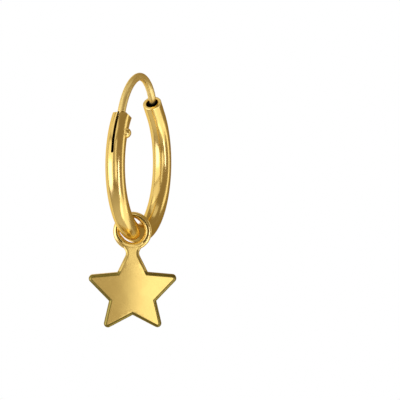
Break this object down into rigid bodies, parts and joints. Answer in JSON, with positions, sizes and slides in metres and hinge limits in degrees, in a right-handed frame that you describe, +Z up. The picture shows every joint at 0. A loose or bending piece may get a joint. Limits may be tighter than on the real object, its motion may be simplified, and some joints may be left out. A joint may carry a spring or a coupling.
{
  "type": "earring.hoop.charm",
  "caption": "Gold hinged tube hoop earring, one of a pair, with a wire arch that latches in the open mouth and a rounded five-pointed star charm hanging from a plain ring.",
  "frame": {"origin": "centre line of the wire at the top of its arch, where the earring hangs in the lobe", "axes": "+X is square to the hoop's plane and points the way the rivet's head does, +Y lies in the hoop's plane from the hinge side to the mouth side, +Z is up as worn"},
  "size_m": [0.0064, 0.012, 0.0192],
  "materials": {
    "gold_satin": "polished yellow gold plate, slightly softened",
    "gold_wire": "drawn wire, polished yellow gold plate",
    "gold_polished": "bright polished yellow gold plate"
  },
  "bodies": {
    "hoop": {"hoop_tube": "gold_satin", "hinge_rivet": "gold_satin"},
    "ear_wire": {"ear_wire": "gold_wire"},
    "star_charm": {"star_charm": "gold_polished"}
  },
  "joints": [
    {"name": "wire_hinge", "type": "hinge", "parent": "hoop", "child": "ear_wire", "pos_m": [0, -0.00483, -0.0042], "axis": [1, 0, 0], "range_deg": [0, 100]},
    {"name": "charm_swing", "type": "hinge", "parent": "hoop", "child": "star_charm", "pos_m": [0, -0.00199, -0.01157], "axis": [0, 0.9367, -0.3502], "range_deg": [-80, 80]}
  ]
}
